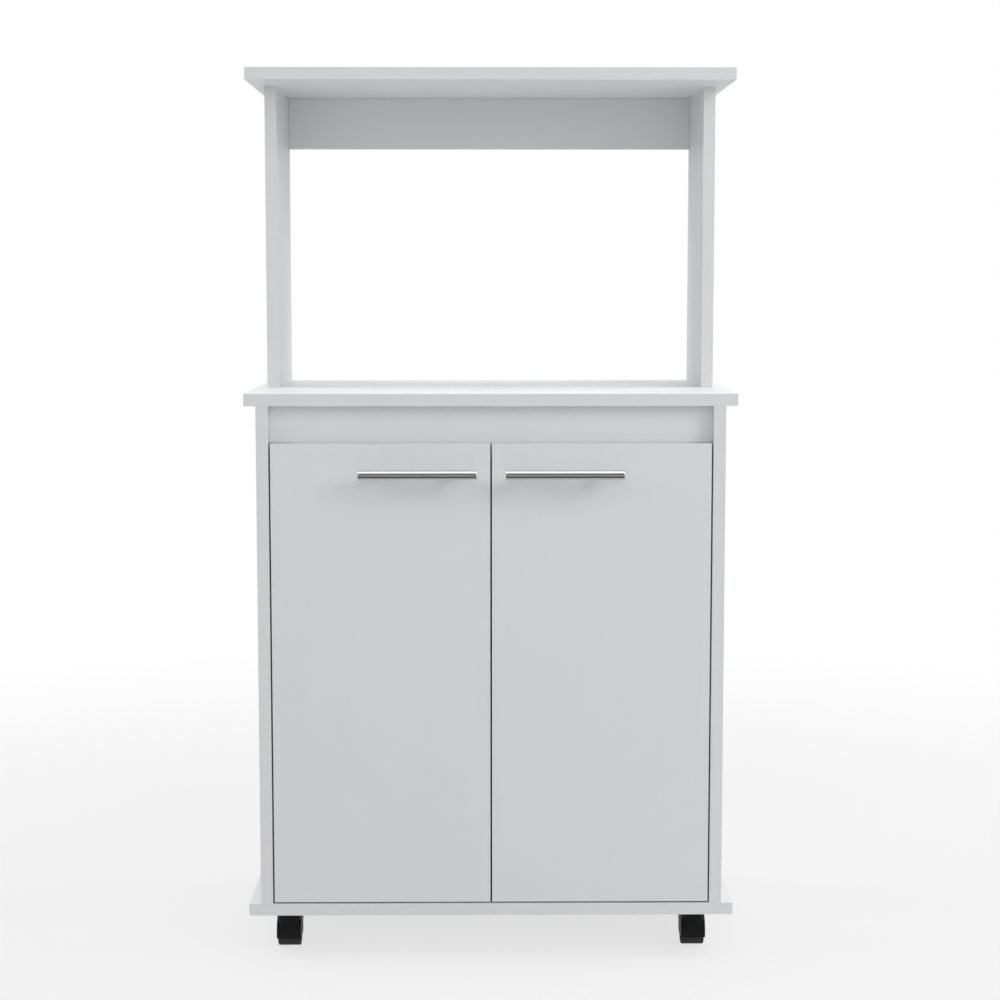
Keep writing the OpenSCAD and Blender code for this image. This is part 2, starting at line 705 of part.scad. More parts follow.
placed() top_board();
placed() upright();  // upright_left
placed() on_right() upright();  // upright_right
placed() back_rail();
placed() counter_board();
placed() side_panel();  // side_panel_left
placed() on_right() side_panel();  // side_panel_right
placed() bottom_board();
placed() front_rail();
placed() back_panel();
placed() inner_shelf();
placed() shelf_pins();
placed() wood_dowels();
placed() cam_bolts();
placed() cam_locks();
placed() cam_covers();
placed() furniture_screws();
placed() screw_covers();
placed() back_nails();
placed() hinge_plates();
placed() hinge_plate_screws();
placed() hinge_arms();
placed() hinge_arm_screws();
placed() caster_plates();
placed() caster_kingpins();
placed() caster_screws();
placed() door();  // door_left
placed() hinge_cups();  // hinge_cups_left
placed() hinge_cup_screws();  // hinge_cup_screws_left
placed() hinge_pins();  // hinge_pins_left
placed() handle_bar();  // handle_bar_left
placed() handle_posts();  // handle_posts_left
placed() handle_screws();  // handle_screws_left
placed() on_right() door();  // door_right
placed() on_right() hinge_cups();  // hinge_cups_right
placed() on_right() hinge_cup_screws();  // hinge_cup_screws_right
placed() on_right() hinge_pins();  // hinge_pins_right
placed() on_right() handle_bar();  // handle_bar_right
placed() on_right() handle_posts();  // handle_posts_right
placed() on_right() handle_screws();  // handle_screws_right
placed() at_caster(-caster_x, caster_ys[0]) caster_hood();  // caster_hood_front_left
placed() at_caster(-caster_x, caster_ys[0]) caster_axle();  // caster_axle_front_left
placed() at_caster(-caster_x, caster_ys[0]) caster_wheel();  // caster_wheel_front_left
placed() at_caster(caster_x, caster_ys[0]) caster_hood();  // caster_hood_front_right
placed() at_caster(caster_x, caster_ys[0]) caster_axle();  // caster_axle_front_right
placed() at_caster(caster_x, caster_ys[0]) caster_wheel();  // caster_wheel_front_right
placed() at_caster(-caster_x, caster_ys[1]) caster_hood();  // caster_hood_rear_left
placed() at_caster(-caster_x, caster_ys[1]) caster_axle();  // caster_axle_rear_left
placed() at_caster(-caster_x, caster_ys[1]) caster_wheel();  // caster_wheel_rear_left
placed() at_caster(caster_x, caster_ys[1]) caster_hood();  // caster_hood_rear_right
placed() at_caster(caster_x, caster_ys[1]) caster_axle();  // caster_axle_rear_right
placed() at_caster(caster_x, caster_ys[1]) caster_wheel();  // caster_wheel_rear_right
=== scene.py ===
# %% [markdown]
# # A white microwave cabinet on casters
#
# The cabinet is flat-pack furniture: white boards held by cams, dowels and screws, two doors on
# cup hinges, steel bar handles and four hooded casters. The CAD model already gives each piece
# its size and place. This lesson gives each piece the shape and finish that the eye expects.

# %% Load the CAD frame
import json
import math

import bmesh
import bpy
from mathutils import Matrix, Vector


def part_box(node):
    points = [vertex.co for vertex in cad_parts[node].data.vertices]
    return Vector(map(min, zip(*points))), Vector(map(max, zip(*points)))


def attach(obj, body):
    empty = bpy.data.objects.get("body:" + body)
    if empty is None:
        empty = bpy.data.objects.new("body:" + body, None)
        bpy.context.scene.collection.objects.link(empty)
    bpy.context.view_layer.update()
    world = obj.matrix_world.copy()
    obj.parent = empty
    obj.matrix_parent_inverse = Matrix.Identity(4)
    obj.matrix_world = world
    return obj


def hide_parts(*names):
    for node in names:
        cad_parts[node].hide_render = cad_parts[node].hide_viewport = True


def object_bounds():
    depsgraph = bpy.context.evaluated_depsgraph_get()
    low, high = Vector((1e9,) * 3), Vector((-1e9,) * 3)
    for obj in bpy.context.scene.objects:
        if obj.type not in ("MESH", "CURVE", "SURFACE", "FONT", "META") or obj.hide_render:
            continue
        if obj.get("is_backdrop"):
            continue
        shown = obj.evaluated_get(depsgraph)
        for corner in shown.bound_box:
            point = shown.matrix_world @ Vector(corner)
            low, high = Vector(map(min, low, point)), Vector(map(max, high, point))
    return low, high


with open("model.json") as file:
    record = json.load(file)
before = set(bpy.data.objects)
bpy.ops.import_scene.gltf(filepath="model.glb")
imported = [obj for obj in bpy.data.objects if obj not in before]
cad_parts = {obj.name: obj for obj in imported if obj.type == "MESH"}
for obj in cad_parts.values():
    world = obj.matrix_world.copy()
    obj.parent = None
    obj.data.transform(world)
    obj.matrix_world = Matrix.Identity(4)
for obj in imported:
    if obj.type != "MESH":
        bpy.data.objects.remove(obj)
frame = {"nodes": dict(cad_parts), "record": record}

cad_low, cad_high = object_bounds()
mm = 0.001
Y, Z = Vector((0, 1, 0)), Vector((0, 0, 1))
print("The CAD box in mm:", [round(side / mm, 1) for side in cad_high - cad_low])

# %% [markdown]
# ## What the record says of each node
#
# A new piece has to ride on the same body as the CAD node that it stands for. The body is in
# the imported record, so nothing is typed twice.

# %% Look up bodies
body_of = {
    node: body for body, nodes in frame["record"]["behaviour"]["bodies"].items() for node in nodes
}

# %% [markdown]
# ## Shader maths that reads like maths
#
# A material could be wired by hand in the shader editor, but then its reasoning is hard to
# read. Here a small class wraps a socket, so that `0.4 + 0.1 * grain` adds the Math nodes by
# itself. Any other node comes from one method, which sets its settings first and then its
# sockets.

# %% A socket that can be calculated with
class Wire:
    """An output socket of a node. Arithmetic on it adds Math nodes."""

    def __init__(self, nodes, socket):
        self.nodes = nodes
        self.socket = socket

    def math(self, operation, first, second):
        return self.nodes.add("ShaderNodeMath", {"operation": operation}, {0: first, 1: second})

    def __add__(self, other):
        return self.math("ADD", self, other)

    def __sub__(self, other):
        return self.math("SUBTRACT", self, other)

    def __rsub__(self, other):
        return self.math("SUBTRACT", other, self)

    def __mul__(self, other):
        return self.math("MULTIPLY", self, other)

    __radd__ = __add__
    __rmul__ = __mul__


# %% A node tree that adds nodes in one call
class Nodes:
    """The node tree of a material or of the world."""

    def __init__(self, owner):
        owner.use_nodes = True
        self.tree = owner.node_tree
        self.tree.nodes.clear()

    def add(self, kind, settings=None, sockets=None, out=0):
        node = self.tree.nodes.new(kind)
        for name, value in (settings or {}).items():
            if name == "stops":
                self.set_stops(node.color_ramp.elements, value)
            else:
                setattr(node, name, value)
        for name, value in (sockets or {}).items():
            if isinstance(value, Wire):
                self.tree.links.new(value.socket, node.inputs[name])
            else:
                node.inputs[name].default_value = value
        return Wire(self, node.outputs[out]) if node.outputs else node

    def set_stops(self, elements, stops):
        while len(elements) < len(stops):
            elements.new(1)
        for element, (position, colour) in zip(elements, stops):
            element.position = position
            element.color = (*colour, 1)

    def mix_colours(self, share, first, second):
        sockets = {0: share, 6: self.colour(first), 7: self.colour(second)}
        return self.add("ShaderNodeMix", {"data_type": "RGBA"}, sockets, out=2)

    def colour(self, value):
        return value if isinstance(value, Wire) else (*value, 1)


print("Ready to mix finishes")

# %% [markdown]
# ## Where on a piece a pattern sits
#
# Every CAD node has its origin at the origin of the whole cabinet, and the new pieces keep that.
# So object coordinates are real metres, and a pattern moves with a door or a caster. Stretching
# the coordinates along one axis turns round noise into brush marks or fibres.

# %% Noise in metres
def place_on(nodes, stretch):
    spot = nodes.add("ShaderNodeTexCoord", out="Object")
    return nodes.add("ShaderNodeVectorMath", {"operation": "MULTIPLY"}, {0: spot, 1: stretch})


def noise(nodes, per_metre, detail, stretch=(1, 1, 1), roughness=0.5):
    sockets = {
        "Vector": place_on(nodes, stretch),
        "Scale": per_metre,
        "Detail": detail,
        "Roughness": roughness,
    }
    return nodes.add("ShaderNodeTexNoise", None, sockets)


def bump(nodes, height, depth, strength):
    sockets = {"Height": height, "Distance": depth, "Strength": strength}
    return nodes.add("ShaderNodeBump", None, sockets)


def surface(name, build, **constants):
    """A material whose Principled sockets come from build(nodes) and from constants."""
    material = bpy.data.materials.new(name)
    nodes = Nodes(material)
    shader = nodes.add("ShaderNodeBsdfPrincipled", None, {**constants, **build(nodes)})
    nodes.add("ShaderNodeOutputMaterial", None, {"Surface": shader})
    return material


# %% [markdown]
# ## White melamine and its edge band
#
# Melamine is printed paper pressed with resin onto chipboard. New white board is nearly
# uniform: it has a fine pearl texture from the press plate and a very faint cloudiness. The
# edges carry a strip of the same white, glued on, which is a little glossier and a touch
# greyer, so a hairline shows where strip and face meet. A painted flat white would look like
# plastic, so both get a bump and a slow change of tone.

# %% Melamine
def melamine_face(nodes):
    pearl = noise(nodes, 1400, 3)
    cloud = noise(nodes, 5, 2)
    return {
        "Base Color": nodes.mix_colours(cloud, (0.775, 0.785, 0.797), (0.80, 0.81, 0.822)),
        "Roughness": 0.40 + 0.07 * pearl + 0.04 * cloud,
        "Normal": bump(nodes, pearl, 0.03 * mm, 0.6),
    }


def melamine_band(nodes):
    along = noise(nodes, 900, 2)
    cloud = noise(nodes, 9, 2)
    return {
        "Base Color": nodes.mix_colours(cloud, (0.77, 0.78, 0.792), (0.795, 0.805, 0.817)),
        "Roughness": 0.36 + 0.08 * along,
        "Normal": bump(nodes, along, 0.03 * mm, 0.5),
    }


soft_sheen = {"Specular IOR Level": 0.3}
white_face = surface("white_melamine", melamine_face, **soft_sheen)
white_band = surface("white_edge_band", melamine_band, **soft_sheen)
print("Melamine and edge band mixed")

# %% [markdown]
# ## Chipboard and hardboard
#
# Wherever a board is drilled, or an edge is hidden in a joint, the chipboard core shows: pressed
# chips of light and dark wood. Voronoi cells make the chips and noise breaks them up. The back
# is 3 mm hardboard, brown fibres on the outside and a thin white print on the inside.

# %% Chipboard
def chipboard_core(nodes):
    sockets = {"Vector": place_on(nodes, (1, 1, 1.6)), "Scale": 420, "Randomness": 1}
    chip = nodes.add("ShaderNodeTexVoronoi", None, sockets, out="Color")
    shade = nodes.add("ShaderNodeSeparateColor", None, {"Color": chip})
    dust = noise(nodes, 1800, 3)
    tone = 0.7 * shade + 0.3 * dust
    stops = [(0.15, (0.19, 0.12, 0.065)), (0.5, (0.38, 0.27, 0.16)), (0.85, (0.56, 0.43, 0.28))]
    return {
        "Base Color": nodes.add("ShaderNodeValToRGB", {"stops": stops}, {"Fac": tone}),
        "Roughness": 0.75 + 0.2 * dust,
        "Normal": bump(nodes, tone, 0.2 * mm, 0.8),
    }


core = surface("chipboard_core", chipboard_core)

# %% Hardboard, inside and outside
def hardboard_back(nodes):
    fibre = noise(nodes, 260, 5, (1, 1, 3.5), 0.65)
    speck = noise(nodes, 1500, 2)
    cloud = noise(nodes, 7, 3)
    tone = 0.55 * fibre + 0.25 * speck + 0.2 * cloud
    stops = [(0.3, (0.13, 0.075, 0.038)), (0.5, (0.23, 0.14, 0.075)), (0.7, (0.33, 0.22, 0.13))]
    return {
        "Base Color": nodes.add("ShaderNodeValToRGB", {"stops": stops}, {"Fac": tone}),
        "Roughness": 0.5 + 0.25 * speck,
        "Normal": bump(nodes, fibre, 0.08 * mm, 0.7),
    }


def hardboard_print(nodes):
    fibre = noise(nodes, 300, 4, (1, 1, 2))
    return {
        "Base Color": nodes.mix_colours(fibre, (0.73, 0.735, 0.74), (0.79, 0.795, 0.80)),
        "Roughness": 0.42 + 0.15 * fibre,
        "Normal": bump(nodes, fibre, 0.05 * mm, 0.5),
    }


brown_board = surface("hardboard_outside", hardboard_back)
white_print = surface("hardboard_inside", hardboard_print)
print("Chipboard and hardboard mixed")

# %% [markdown]
# ## Steel in four finishes
#
# The bars are satin steel, brushed along their length, so their noise is stretched along X and
# drives the roughness. Zinc plating is cooler and mottled, cast zinc is matt and grainy, and the
# pressed hinge parts are nickel plated and shinier. Metal shows mostly what is round it, so the
# change over its surface goes to roughness and bump, and only a little to colour.

# %% Steel
def satin_steel(nodes):
    brush = noise(nodes, 4200, 3, (0.02, 1, 1), 0.6)
    smudge = noise(nodes, 40, 2)
    return {
        "Base Color": nodes.mix_colours(brush, (0.60, 0.60, 0.605), (0.72, 0.72, 0.725)),
        "Roughness": 0.11 + 0.08 * brush + 0.04 * smudge,
        "Normal": bump(nodes, brush, 0.012 * mm, 0.5),
    }


def zinc_plate(nodes):
    crystal = noise(nodes, 700, 4)
    patch = noise(nodes, 90, 2)
    return {
        "Base Color": nodes.mix_colours(patch, (0.52, 0.53, 0.55), (0.66, 0.66, 0.64)),
        "Roughness": 0.26 + 0.18 * crystal,
        "Normal": bump(nodes, crystal, 0.02 * mm, 0.5),
    }


def cast_zinc(nodes):
    grain = noise(nodes, 1600, 4)
    return {
        "Base Color": nodes.mix_colours(grain, (0.40, 0.40, 0.40), (0.55, 0.55, 0.54)),
        "Roughness": 0.42 + 0.2 * grain,
        "Normal": bump(nodes, grain, 0.05 * mm, 0.7),
    }


def nickel_plate(nodes):
    rolled = noise(nodes, 900, 3, (1, 1, 0.12))
    return {
        "Base Color": nodes.mix_colours(rolled, (0.60, 0.58, 0.54), (0.70, 0.68, 0.64)),
        "Roughness": 0.2 + 0.12 * rolled,
        "Normal": bump(nodes, rolled, 0.01 * mm, 0.5),
    }


bar_steel = surface("satin_steel", satin_steel, Metallic=1.0)
zinc = surface("zinc_plate", zinc_plate, Metallic=1.0)
cast = surface("cast_zinc", cast_zinc, Metallic=1.0)
nickel = surface("nickel_plate", nickel_plate, Metallic=1.0)
print("Four metals mixed")

# %% [markdown]
# ## Plastics and beech
#
# The caster hoods are black nylon from a spark-eroded mould, so they have a fine grain and a low
# sheen. The treads are a little greyer and scuffed. The cover discs are thin white film, and the
# dowels are beech with a grain along their length.

# %% Plastics and wood
def hood_nylon(nodes):
    grain = noise(nodes, 2600, 3)
    cloud = noise(nodes, 60, 2)
    return {
        "Base Color": nodes.mix_colours(cloud, (0.006, 0.006, 0.0062), (0.011, 0.011, 0.0115)),
        "Roughness": 0.40 + 0.14 * grain,
        "Normal": bump(nodes, grain, 0.04 * mm, 0.6),
    }


def tread_nylon(nodes):
    scuff = noise(nodes, 800, 4, (4, 1, 1))
    cloud = noise(nodes, 80, 2)
    return {
        "Base Color": nodes.mix_colours(scuff, (0.030, 0.030, 0.032), (0.062, 0.062, 0.066)),
        "Roughness": 0.5 + 0.2 * scuff + 0.05 * cloud,
        "Normal": bump(nodes, scuff, 0.06 * mm, 0.6),
    }


def cover_film(nodes):
    pearl = noise(nodes, 1700, 2)
    return {
        "Base Color": nodes.mix_colours(pearl, (0.80, 0.805, 0.81), (0.84, 0.845, 0.85)),
        "Roughness": 0.34 + 0.08 * pearl,
        "Normal": bump(nodes, pearl, 0.02 * mm, 0.4),
    }


def beech_wood(nodes):
    grain = noise(nodes, 700, 4, (1, 1, 0.08), 0.6)
    stops = [(0.3, (0.42, 0.25, 0.12)), (0.55, (0.58, 0.39, 0.21)), (0.8, (0.68, 0.5, 0.3))]
    return {
        "Base Color": nodes.add("ShaderNodeValToRGB", {"stops": stops}, {"Fac": grain}),
        "Roughness": 0.55 + 0.2 * grain,
        "Normal": bump(nodes, grain, 0.05 * mm, 0.6),
    }


dull = {"Specular IOR Level": 0.12}
black_nylon = surface("hood_nylon", hood_nylon, **dull)
tread = surface("tread_nylon", tread_nylon, **dull)
film = surface("cover_film", cover_film)
beech = surface("beech", beech_wood)
print("Plastics and beech mixed")

# %% [markdown]
# ## From mesh code to a piece
#
# A new piece needs a mesh, its finishes, even shading, and its place in the frame. The corners
# are shaded smooth up to an angle, and a Weighted Normal modifier keeps the wide flat faces
# flat. The piece then rides on its node's body and replaces the node.

# %% Put a shape in the scene
def as_mesh(name, shape):
    mesh = bpy.data.meshes.new(name)
    shape.to_mesh(mesh)
    shape.free()
    return mesh


def put(name, data):
    made = bpy.data.objects.new(name, data)
    bpy.context.scene.collection.objects.link(made)
    return made


# %% Make a piece that stands for a CAD node
smooth_below = math.radians(35)


def shade_evenly(made):
    made.modifiers.new("even_shading", "WEIGHTED_NORMAL").keep_sharp = True


def piece(node, shape, finishes):
    bmesh.ops.recalc_face_normals(shape, faces=shape.faces)
    mesh = as_mesh(f"{node}_piece", shape)
    for finish in finishes:
        mesh.materials.append(finish)
    mesh.shade_smooth()
    mesh.set_sharp_from_angle(angle=smooth_below)
    made = put(mesh.name, mesh)
    shade_evenly(made)
    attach(made, body_of[node])
    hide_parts(node)
    print(f"{made.name}: {len(mesh.polygons)} faces, rides on {body_of[node]}")


print("Corners are smooth below", round(math.degrees(smooth_below)), "degrees")


# %% Find the separate solids of a node
weld = 0.01 * mm


def solids(node):
    """The lowest and highest corners of each separate solid in a CAD node."""
    shape = bmesh.new()
    shape.from_mesh(frame["nodes"][node].data)
    bmesh.ops.remove_doubles(shape, verts=shape.verts, dist=weld)
    seen, found = set(), []
    for start in shape.verts:
        if start in seen:
            continue
        waiting, group = [start], []
        seen.add(start)
        while waiting:
            point = waiting.pop()
            group.append(point.co.copy())
            for edge in point.link_edges:
                other = edge.other_vert(point)
                if other not in seen:
                    seen.add(other)
                    waiting.append(other)
        found.append(tuple(Vector(map(pick, *group)) for pick in (min, max)))
    shape.free()
    return found


print(len(solids("caster_plates")), "caster plates found")

# %% [markdown]
# ## Turning and carving
#
# Most hardware is round, so it could come from a stack of cylinders. A turned profile does more
# with less: one list of radius and height pairs gives heads, chamfers and grooves. Holes are
# carved with a Boolean modifier that is applied at once, so that the mesh really has them.

# %% Turn a profile round an axis
def stand(at, along):
    """A place at a point, with its Z along a direction."""
    return Matrix.Translation(at) @ Vector(along).to_track_quat("Z", "Y").to_matrix().to_4x4()


def turned(shape, profile, place, steps=48, finish=0):
    """Adds a turned profile to a shape."""
    rings = []
    for radius, height in profile:
        count = steps if radius > weld else 1
        turns = [2 * math.pi * step / count for step in range(count)]
        spots = [(radius * math.cos(turn), radius * math.sin(turn), height) for turn in turns]
        rings.append([shape.verts.new(place @ Vector(spot)) for spot in spots])
    for low, high in zip(rings, rings[1:]):
        for step in range(steps):
            near, far = step, (step + 1) % steps
            corners = [low[near % len(low)], low[far % len(low)]]
            corners += [high[far % len(high)], high[near % len(high)]]
            corners = list(dict.fromkeys(corners))
            if len(corners) > 2:
                shape.faces.new(corners).material_index = finish


def lathe(profile, steps, place=Matrix()):
    """A new shape, turned from a profile."""
    shape = bmesh.new()
    turned(shape, profile, place, steps)
    return shape


def arc(middle, radius, start, end, steps=6):
    """Points on an arc in a profile, between two angles in degrees."""
    turns = [math.radians(start + (end - start) * step / steps) for step in range(steps + 1)]
    return [
        (middle[0] + radius * math.cos(turn), middle[1] + radius * math.sin(turn))
        for turn in turns
    ]


def both_ways(half, middle=0):
    """A profile and its mirror image across a middle height."""
    return [*half, *[(radius, 2 * middle - height) for radius, height in reversed(half)]]


# %% Carve one shape out of another
def as_object(shape):
    bmesh.ops.recalc_face_normals(shape, faces=shape.faces)
    return put("carving", as_mesh("carving", shape))


def carved(shape, cutter, operation="DIFFERENCE"):
    """A new shape: the first with the cutter taken out of it or joined to it."""
    body, tool = as_object(shape), as_object(cutter)
    work = body.modifiers.new("carve", "BOOLEAN")
    work.operation = operation
    work.solver = "EXACT"
    work.object = tool
    result = bpy.data.meshes.new_from_object(
        body.evaluated_get(bpy.context.evaluated_depsgraph_get())
    )
    made = bmesh.new()
    made.from_mesh(result)
    for used in (body, tool):
        mesh = used.data
        bpy.data.objects.remove(used)
        bpy.data.meshes.remove(mesh)
    bpy.data.meshes.remove(result)
    return made


print("Lathe and carving tools ready")

# %% [markdown]
# ## Prisms and stamps
#
# Recesses, slots and ribs have one outline all the way down, so they come from a prism. Screws
# and other small hardware come in rows of equal pieces. One of them is made well and then
# stamped in each place where the CAD node has a solid.

# %% Extrude an outline
def prism(outline, low, high, place=Matrix(), taper=1.0):
    """A closed prism between two heights. Taper shrinks its low end."""
    shape = bmesh.new()
    ends = []
    for height, scale in ((low, taper), (high, 1.0)):
        spots = [place @ Vector((x * scale, y * scale, height)) for x, y in outline]
        ends.append([shape.verts.new(spot) for spot in spots])
    shape.faces.new(reversed(ends[0]))
    shape.faces.new(ends[1])
    for step in range(len(outline)):
        after = (step + 1) % len(outline)
        shape.faces.new((ends[0][step], ends[0][after], ends[1][after], ends[1][step]))
    return shape


def cross(length, width):
    """The outline of a cross recess."""
    a, b = length / 2, width / 2
    return [(b, b), (b, a), (-b, a), (-b, b), (-a, b), (-a, -b),
            (-b, -b), (-b, -a), (b, -a), (b, -b), (a, -b), (a, b)]


def ring(radius, steps, flat=0.0):
    """The outline of a circle, or of a slot if flat is its straight length along Y."""
    points = []
    for step in range(steps):
        turn = 2 * math.pi * (step + 0.5) / steps
        shift = math.copysign(flat / 2, math.sin(turn))
        points.append((radius * math.cos(turn), radius * math.sin(turn) + shift))
    return points


# %% Find where the solids of a node face
def facing(middle, side):
    to_middle = Vector((-math.copysign(1, middle.x), 0, 0))
    return {"in": to_middle, "out": -to_middle, "back": Y, "down": -Z}[side]


def seats(node, side, lengthwise=False):
    """The place of each solid's end that faces a side. Lengthwise leaves out solids that lie
    across that side."""
    found = []
    for low, high in solids(node):
        size, middle = high - low, (low + high) / 2
        along = facing(middle, side)
        length = abs(along.dot(size))
        if not lengthwise or length > max(size) - weld:
            found.append(stand(middle + along * length / 2, along))
    return found


# %% Stamp a template in many places
def stamp(shape, template, place):
    known = len(shape.verts)
    shape.from_mesh(template)
    shape.verts.ensure_lookup_table()
    for point in shape.verts[known:]:
        point.co = place @ point.co


def as_template(shape):
    bmesh.ops.recalc_face_normals(shape, faces=shape.faces)
    return as_mesh("template", shape)


def stamped(node, jobs, finish):
    """Makes a node's piece from pairs: a list of places, and the shape to stamp there."""
    shape = bmesh.new()
    for places, pattern in jobs:
        template = as_template(pattern)
        for place in places:
            stamp(shape, template, place)
        bpy.data.meshes.remove(template)
    piece(node, shape, [finish])


def fitted(node, side, pattern, finish):
    """Makes a node's piece from one shape, in all seats that face a side."""
    stamped(node, [(seats(node, side), pattern)], finish)


def by_height(node, side, limit):
    """The places of the solids taller than a limit, and of the others."""
    heights = [high.z - low.z for low, high in solids(node)]
    places = list(zip(seats(node, side), heights))
    return (
        [place for place, height in places if height > limit],
        [place for place, height in places if height <= limit],
    )


screw_places = seats("furniture_screws", "down", lengthwise=True)
screw_places += seats("furniture_screws", "out", lengthwise=True)
print(len(screw_places), "furniture screws to stamp")

# %% [markdown]
# ## The boards
#
# A sawn board is a box, but its edges are never sharp: the band is trimmed and broken by about
# a third of a millimetre, and light catches on that. A Bevel modifier could do it, but the holes
# are cut after it, so each box has its edges rounded in mesh code. Its wide faces are melamine,
# its edges are band, and a drilled hole shows the core.

# %% Cut a board to its CAD box
edge_round = 0.3 * mm
round_steps = 2
square_on = 0.99
FACE, BAND, CORE = 0, 1, 2


def blank(low, high):
    shape = bmesh.new()
    bmesh.ops.create_cube(shape, size=1)
    size, middle = high - low, (low + high) / 2
    for corner in shape.verts:
        corner.co = middle + Vector(a * b for a, b in zip(corner.co, size))
    return shape


def rounded(shape, radius, edges=None):
    """Breaks edges, all of them if none are named."""
    chosen = list(edges if edges is not None else shape.edges)
    bmesh.ops.bevel(
        shape, geom=chosen, offset=radius, segments=round_steps, profile=0.5, affect="EDGES"
    )
    return shape


def mark_bands(shape, low, high):
    size = high - low
    thin = min(range(3), key=lambda axis: size[axis])
    for face in shape.faces:
        face.normal_update()
        face.material_index = FACE if abs(face.normal[thin]) > square_on else BAND


def board(node, holes=None):
    low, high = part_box(node)
    shape = rounded(blank(low, high), edge_round)
    mark_bands(shape, low, high)
    if holes:
        shape = carved(shape, holes)
    piece(node, shape, [white_face, white_band, core])


print("Board edges are rounded by", round(edge_round / mm, 2), "mm")

# %% [markdown]
# ### Holes
#
# A drill is a turned profile too. It starts a little outside the board so that the cut is
# clean, and goes in where the CAD has a solid of that hardware. Height 0 is the hardware's face.

# %% Drill profiles
past = 1 * mm
cam_width, cam_depth = 15 * mm, 12 * mm
pin_width, pin_depth = 5 * mm, 18 * mm
cup_width, cup_depth, flange = 35 * mm, 12 * mm, 1.2 * mm
screw_head, screw_neck, screw_core, screw_long = 10 * mm, 7 * mm, 5 * mm, 50 * mm
head_deep, neck_deep = 1.2 * mm, 15 * mm
cone_deep = head_deep + (screw_head - screw_neck) / 2


def bore(width, depth, start=past):
    return [(0, start), (width / 2, start), (width / 2, -depth), (0, -depth)]


screw_bore = [
    (0, past), (screw_head / 2, past), (screw_head / 2, -head_deep), (screw_neck / 2, -cone_deep),
    (screw_neck / 2, -neck_deep), (screw_core / 2, -neck_deep), (screw_core / 2, -screw_long),
    (0, -screw_long),
]


def enters(node, place, profile):
    """Whether a drill at a place starts or ends in a node's box."""
    low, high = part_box(node)
    ends = [place @ Vector((0, 0, height)) for height in (0, profile[-1][1])]
    return any(all(low[i] - weld < end[i] < high[i] + weld for i in range(3)) for end in ends)


def drills(node, jobs):
    """The shapes to cut out of a node, for each list of places and its drill's profile."""
    holes = bmesh.new()
    for places, profile in jobs:
        for place in places:
            if enters(node, place, profile):
                turned(holes, profile, place, finish=CORE)
    return holes


print("A furniture screw's bore is", round(screw_long / mm), "mm deep")

# %% [markdown]
# ### The upper part
#
# The top board, the two uprights and the back rail make the open bay. The cams sit in the
# uprights' inner faces, under thin cover discs.

# %% Top board, uprights and back rail
cam_job = (seats("cam_locks", "in"), bore(cam_width, cam_depth))
screw_job = (screw_places, screw_bore)
board("top_board")
board("counter_board")
for side in ("left", "right"):
    board(f"upright_{side}", drills(f"upright_{side}", [cam_job, screw_job]))
board("back_rail", drills("back_rail", [screw_job]))

# %% [markdown]
# ### The cupboard
#
# The sides take cam locks and three rows of holes for the shelf pins, so that the shelf can be
# moved. The bottom board is screwed from below, so its screw heads show underneath. The front
# rail stands right behind the doors, so its lower corners are sawn out where the doors' back
# corners swing.

# %% Sides, bottom, rail and shelf
pin_pitch = 64 * mm
pin_places = [
    Matrix.Translation((0, 0, row * pin_pitch)) @ place
    for place in seats("shelf_pins", "in") for row in (-1, 0, 1)
]
pin_job = (pin_places, bore(pin_width, pin_depth))
for side in ("left", "right"):
    node = f"side_panel_{side}"
    board(node, drills(node, [cam_job, pin_job, screw_job]))
board("bottom_board", drills("bottom_board", [screw_job]))
rail_cuts = drills("front_rail", [screw_job])
rail_low, rail_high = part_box("front_rail")
corner_width, corner_clear = 27.9 * mm, 0.2 * mm
corner_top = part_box("door_left")[1].z + corner_clear
for start, end in (
    (rail_low.x - past, rail_low.x + corner_width),
    (rail_high.x - corner_width, rail_high.x + past),
):
    near = Vector((start, rail_low.y - past, rail_low.z - past))
    corner = blank(near, Vector((end, rail_high.y + past, corner_top)))
    for face in corner.faces:
        face.material_index = CORE
    stamp(rail_cuts, as_template(corner), Matrix())
board("front_rail", rail_cuts)
board("inner_shelf")

# %% [markdown]
# ### The back
#
# The hardboard back is nailed on. Its edges are left as sawn, so they are broken less than the
# boards' edges. The white print faces the inside.

# %% Hardboard back
nail_head, nail_head_high = 4 * mm, 0.8 * mm
sawn_round = 0.25 * mm
faces_inside = -0.9
OUTSIDE, INSIDE = 0, 1


def hardboard(node):
    shape = rounded(blank(*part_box(node)), sawn_round)
    for face in shape.faces:
        face.normal_update()
        face.material_index = INSIDE if face.normal.y < faces_inside else OUTSIDE
    nail_job = (seats("back_nails", "back"), bore(nail_head, nail_head_high))
    shape = carved(shape, drills(node, [nail_job]))
    piece(node, shape, [brown_board, white_print])


hardboard("back_panel")

# %% [markdown]
# ### The doors
#
# Each door is one more board. Its back face has two 35 mm holes for the hinge cups.

# %% Doors
for side in ("left", "right"):
    cup_job = (seats(f"hinge_cups_{side}", "back"), bore(cup_width, cup_depth + flange))
    board(f"door_{side}", drills(f"door_{side}", [cup_job]))

# %% [markdown]
# ## The bar handles
#
# A bar handle is a piece of round steel, cut to length and broken at its ends by the lathe. It
# stands on two posts, each held by a screw from behind the door. Turned profiles give the small
# rounds at the ends, which catch the light.

# %% Bars and posts
def rod(radius, length, broken):
    """The profile of a rod with its end edges rounded."""
    near = [(0, 0), *arc((radius - broken, -broken), broken, 90, 0, 5)]
    return both_ways(near, -length / 2)


